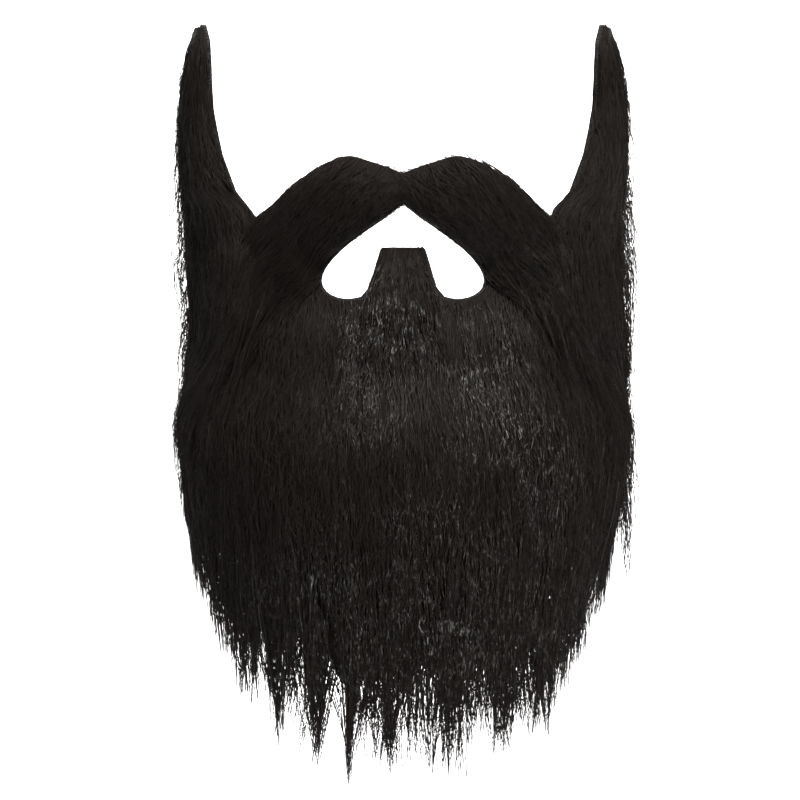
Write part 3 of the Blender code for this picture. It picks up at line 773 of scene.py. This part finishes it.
def fringe(along, across, side):
    """How far the fur stands over the crest of its cloth: it rounds the peaks beside the parting, and goes
    on down the outer slope on the right, side 1.
    """
    slope = 1 - 0.85 * ease((along - 0.17) / 0.08) * (side < 0)
    return FRINGE_RISE * between(along, FRINGE_LINE, 1) * slope * (1 - ease(across / FRINGE_ACROSS))


along = np.linspace(0, 0.92, 52)
across = 0.5 - 0.485 * np.cos(np.pi * np.linspace(0, 1, 15))[:, None]
angle, height, thick = moustache_at(along, across)
halves = ((-1, angle), (1, height), (1, thick))
angle, height, thick = [np.concatenate([sign * grid[:, :0:-1], grid], 1) for sign, grid in halves]
along = np.concatenate([along[:0:-1], along])
height = height + 0.7 * fringe(along, across, np.sign(angle))
show_packed("moustache_body", "moustache", angle, height, lap(angle, height), thick)

for name, side, seed in (("moustache_hair_left", -1, 31), ("moustache_hair_right", 1, 32)):
    random = np.random.default_rng(seed)
    shape, own = (MOUSTACHE_TUFTS, 1, 1), (MOUSTACHE_TUFTS, MOUSTACHE_HAIRS, 1)
    t = np.linspace(0, 1, 7)
    along = random.uniform(-0.04, 0.98, shape)
    spill = random.gamma(2.0, SPILL_STEP, shape) * ease((along - 0.30) / 0.20) * random.random(shape)
    outwards = 0.06 + 0.16 * ease(along / 0.40)
    across = random.beta(0.9, 1.0, shape)
    drift = (0.12 + 0.60 * (1 - ease(along / 0.42))) * random.uniform(0.3, 1.3, shape) * (1.05 - across)
    along = along + outwards * random.uniform(0.6, 1.4, shape) * t + random.normal(0, 0.012, own)
    across = across + drift * t**1.2 + random.normal(0, 0.06, own) * (1 - 0.5 * t)
    crossing = 0.10 * ease((along - NOTCH_ALONG) / 0.08)
    across = np.clip(across - crossing * random.random(shape), 0.004 - crossing, 1.02)
    angle, height, thick = moustache_at(np.abs(along), across)
    height = height + fringe(np.abs(along), across, side) * random.uniform(0.6, 1.15, own) - spill * t**1.6
    standoff = lap(angle, height) + thick * (1 - 0.7 * np.minimum(spill / SPILL_FULL, 1) * t)
    standoff = standoff - ROOT_DEPTH * (1 - t) ** 2 + random.gamma(1.5, TIP_LIFT, own) * t
    path, tone = tufted(random, side * np.sign(along), angle, height, standoff, MOUSTACHE_KINK)
    show_hair(name, "moustache", random, path, tone)

# The sideburns
# A strip of acrylic fur up each side, knitted into the cloth: short and flat where it starts, longer below,
# and it falls over the roots of the long fur. Its rear edge is ragged.

SIDEBURN_DROP = 0.1180
SEAM_GAP, SEAM_RUN_ON = 0.0006, 0.0100
RAGGED_DEPTH, RAGGED_HEIGHT, RAGGED_SPAN = 0.0036, -0.026, 0.036
FULLNESS, FRONT_FULLNESS = {"left": 0.78, "right": 0.94}, 0.78
SIDEBURN_TUFTS, SIDEBURN_HAIRS, SIDEBURN_KINK = 860, 3, 0.00028
LOWEST_ROOT, TOP_MARGIN, END_MARGIN = 0.095, 0.001, 0.026
SIDEBURN_LENGTH, SIDEBURN_GROWTH, SIDEBURN_SPREAD = (0.014, 0.026), (0.004, 0.034), 0.003
TAPER_START, TAPER_SPAN, OVERHANG = 0.050, 0.045, 0.022

SIDEBURN_EDGES = [
    # height, front, rear
    (1.00, 0.770, 0.800),
    (0.90, 0.732, 0.862),
    (0.75, 0.719, 0.908),
    (0.50, 0.714, 0.955),
    (0.22, 0.682, 1.000),
    (0.00, 0.623, 1.000),
]
SIDE_PROFILE = [
    # height, standoff
    (1.00, 0.09),
    (0.80, 0.18),
    (0.50, 0.28),
    (0.00, 0.50),
    (-0.50, 0.78),
    (-1.00, 0.92),
    (-1.80, 1.00),
]


def sideburn_front(height):
    """Angle of the front edge: the strip's own edge down to the notch, then along the moustache's tail."""
    strip = REAR_ANGLE * between(height_share(height), SIDEBURN_EDGES, 1)
    along = np.linspace(0.3, 1.0, 60)
    outer = np.stack([between(along, CREST_ROWS, 1), between(along, CREST_ROWS, 2)], 1)
    run_on = outer[-1] + (outer[-1] - outer[-2]) * SEAM_RUN_ON / (outer[-2, 1] - outer[-1, 1])
    outer = np.concatenate([outer, [run_on]])
    tail = np.interp(-height, -outer[:, 1], outer[:, 0]) + math.degrees(SEAM_GAP / BEND_HALF_WIDTH)
    return strip + (tail - strip) * np.clip(-height / NOTCH_DROP, 0, 1)


def ragged(height):
    """Depth of the loose hairs outside the strip's closed fur: a bell over the middle of the side."""
    return RAGGED_DEPTH * np.exp(-(((height - RAGGED_HEIGHT) / RAGGED_SPAN) ** 2))


def sideburn_at(across, height, fullness):
    """(angle, underside, thickness) of the right strip: across from its front to its rear edge. It rounds
    off at its free edges, runs level into the moustache, and tapers onto the long fur where its hairs end.
    """
    front = sideburn_front(height)
    rear = REAR_ANGLE * between(height_share(height), SIDEBURN_EDGES, 2)
    angle = front + (rear - front) * across
    ends = 1 - ease((-height - TAPER_START) / TAPER_SPAN)
    _, long_side = chin_walls(angle, height, hem_height(angle) + LOCK_DROP / 2)
    under = lap(angle, height) * ends + (long_side + LAP_GAP) * (1 - ends)
    edges = np.clip(4 * across * (1 - across), 0, 1) ** 0.4
    level = ease((-height - NOTCH_DROP) / 0.010) * (across < 0.5)
    edges = edges + (0.8 + 0.4 * across - edges) * level
    room = CLOTH_THICKNESS + SEAT_GAP + SIDE_FUR * between(height_share(height), SIDE_PROFILE, 1) - under
    full = FRONT_FULLNESS + (fullness - FRONT_FULLNESS) * ease(across / 0.45)
    room = room - (1 - full) * SIDE_FUR * ease(-height / 0.060) - ragged(height) * ease(across / 0.5)
    return angle, under, EDGE_FUR * (0.2 + 0.8 * ends) + np.maximum(room * ends - EDGE_FUR, 0) * edges


for name, side, seed in (("left", -1, 41), ("right", 1, 42)):
    node = f"sideburn_{name}"
    across = 0.5 - 0.485 * np.cos(np.pi * np.linspace(0, 1, 17))
    down = np.linspace(0, 1, 52)[:, None]
    height = SIDEBURN_RISE - TOP_MARGIN - (SIDEBURN_RISE + SIDEBURN_DROP - END_MARGIN) * down
    angle, under, thick = sideburn_at(across, height, FULLNESS[name])
    show_packed(f"{node}_body", node, side * angle, height, under, thick)

    random = np.random.default_rng(seed)
    shape, own = (SIDEBURN_TUFTS, 1, 1), (SIDEBURN_TUFTS, SIDEBURN_HAIRS, 1)
    t = np.linspace(0, 1, 7)
    first = SIDEBURN_RISE - (SIDEBURN_RISE + LOWEST_ROOT) * random.beta(1.0, 1.1, shape)
    grown = between(height_share(first), SIDE_PROFILE, 1)
    length = random.uniform(*SIDEBURN_LENGTH, shape) + grown * random.uniform(*SIDEBURN_GROWTH, shape)
    height = first - length * t + random.normal(0, SIDEBURN_SPREAD, own)
    height = np.clip(height, -SIDEBURN_DROP + random.gamma(2.0, 0.006, shape) - 0.008, SIDEBURN_RISE)
    across = random.beta(0.7, 0.8, shape) + random.normal(0, 0.05, own) * (1 - 0.6 * t)
    across = across + random.normal(0, 0.06, shape) * t**1.5 + random.normal(0, 0.05, own) * t
    crossing = 0.10 * ease((-height - NOTCH_DROP) / 0.008)
    overhang = crossing + OVERHANG * ease((height + NOTCH_DROP) / 0.03)
    across = np.clip(across - crossing * random.random(shape), -overhang, 1.015)
    angle, under, thick = sideburn_at(across, height, FULLNESS[name])
    standoff = under + thick - ROOT_DEPTH * (1 - t) ** 2 + random.gamma(1.5, TIP_LIFT, own) * t
    over_front = ease(-across / 0.020) * (crossing < 0.01)
    over_top = ease((height - SIDEBURN_RISE) / 0.005 + 1)
    over_edge = np.maximum(over_front, over_top) * random.uniform(0.1, 0.9, own)
    path, tone = tufted(random, side, angle, height, standoff * (1 - over_edge), SIDEBURN_KINK)
    show_hair(f"{node}_hair", node, random, path, tone)

# The loose hairs
# Single long hairs of the same fur, knitted in along the rear edges of the sideburns. They stand off them
# and hang down the sides of the long fur, more of them and lower on the right.

LOOSE_REACH, STRAY_TOP, STRAY_SPAN = (0.020, 0.060), 0.060, 0.040
LOOSE_LIFT, LOOSE_DEPTH, LOOSE_KINK = 0.0009, 0.0012, 0.00050

for name, side, hairs, lowest, stray, seed in (
    ("left", -1, 360, -0.080, 0.0015, 51),
    ("right", 1, 640, -0.100, 0.0050, 52),
):
    random = np.random.default_rng(seed)
    shape, t = (hairs, 1, 1), np.linspace(0, 1, 9)
    first = random.uniform(lowest, 0.056, shape)
    height = first - random.uniform(*LOOSE_REACH, shape) * t
    across = np.clip(1.0 - random.gamma(1.5, 0.10, shape) + 0.03 * t, 0.4, 1.02)
    angle, under, thick = sideburn_at(across, height, FULLNESS[name])
    away = ragged(height) * random.uniform(0.2, 1.5, shape)
    away = away + stray * ease((-height - STRAY_TOP) / STRAY_SPAN) * random.random(shape)
    away = (away + random.gamma(1.4, LOOSE_LIFT, shape)) * ease(t * 2)
    standoff = under + thick - LOOSE_DEPTH * (1 - t) + away
    path, tone = tufted(random, side, angle, height, standoff, LOOSE_KINK)
    show_hair(f"loose_hair_{name}", f"sideburn_{name}", random, path, tone)

# The stage
# A pale paper floor that sweeps up behind, a soft key lamp from above, and more lamps for the paper and the
# edges of the beard. The camera is level with its middle.

PAPER_HALF_WIDTH, PAPER_SWEEP = 4.0, [
    # y, z
    (-3.0, -0.34),
    (2.2, -0.34),
    (2.7, -0.22),
    (3.0, 0.1),
    (3.1, 0.6),
    (3.1, 4.0),
]
PAPER_COLOUR, WORLD_STRENGTH = (0.86, 0.86, 0.855, 1.0), 0.27
BEARD_AIM, PAPER_AIM = (0.0, 0.0, -0.08), (0.0, 3.0, 0.4)
CAMERA_PLACE, VIEW_HALF_WIDTH = (-0.001, -1.5, -0.075), 0.140

bpy.context.scene.view_settings.view_transform = "Standard"
sweep = np.array(PAPER_SWEEP)
sides = [np.column_stack([np.full(len(sweep), x), sweep]) for x in (-PAPER_HALF_WIDTH, PAPER_HALF_WIDTH)]
grid = np.stack(sides, 1)
mesh = bpy.data.meshes.new("floor")
index = np.arange(2 * len(sweep)).reshape(-1, 2)
quads = np.stack([index[:-1, 0], index[:-1, 1], index[1:, 1], index[1:, 0]], -1)
fill_mesh(mesh, grid.reshape(-1, 3), quads, np.empty((0, 3), int))
paper = Finish("pale_paper")
mesh.materials.append(paper.finish(Base_Color=PAPER_COLOUR, Roughness=0.9))
floor = bpy.data.objects.new("floor", mesh)
bpy.context.scene.collection.objects.link(floor)

world = bpy.data.worlds.new("studio")
world.use_nodes = True
background = world.node_tree.nodes["Background"]
background.inputs["Color"].default_value = (1.0, 1.0, 1.0, 1.0)
background.inputs["Strength"].default_value = WORLD_STRENGTH
bpy.context.scene.world = world

for name, at, aim, size, power in (
    ("key", (0.28, -0.72, 1.08), BEARD_AIM, 0.45, 75.0),
    ("fill", (-0.9, -1.3, 0.25), BEARD_AIM, 0.9, 1.2),
    ("back_left", (-1.2, 1.2, 1.2), PAPER_AIM, 1.2, 110.0),
    ("back_right", (1.2, 1.2, 1.2), PAPER_AIM, 1.2, 110.0),
    ("rear", (-0.6, 1.4, 1.0), BEARD_AIM, 0.8, 9.0),
):
    lamp = bpy.data.lights.new(name, "AREA")
    lamp.shape, lamp.size, lamp.energy = "SQUARE", size, power
    holder = bpy.data.objects.new(name, lamp)
    bpy.context.scene.collection.objects.link(holder)
    holder.location = at
    holder.rotation_euler = (Vector(aim) - Vector(at)).to_track_quat("-Z", "Y").to_euler()

camera = bpy.data.objects.new("camera", bpy.data.cameras.new("camera"))
bpy.context.scene.collection.objects.link(camera)
camera.location = CAMERA_PLACE
camera.rotation_euler = (math.radians(90), 0.0, 0.0)
camera.data.angle = 2 * math.atan(VIEW_HALF_WIDTH / -CAMERA_PLACE[1])
camera.data.clip_start, camera.data.clip_end = 0.05, 20.0
bpy.context.scene.camera = camera
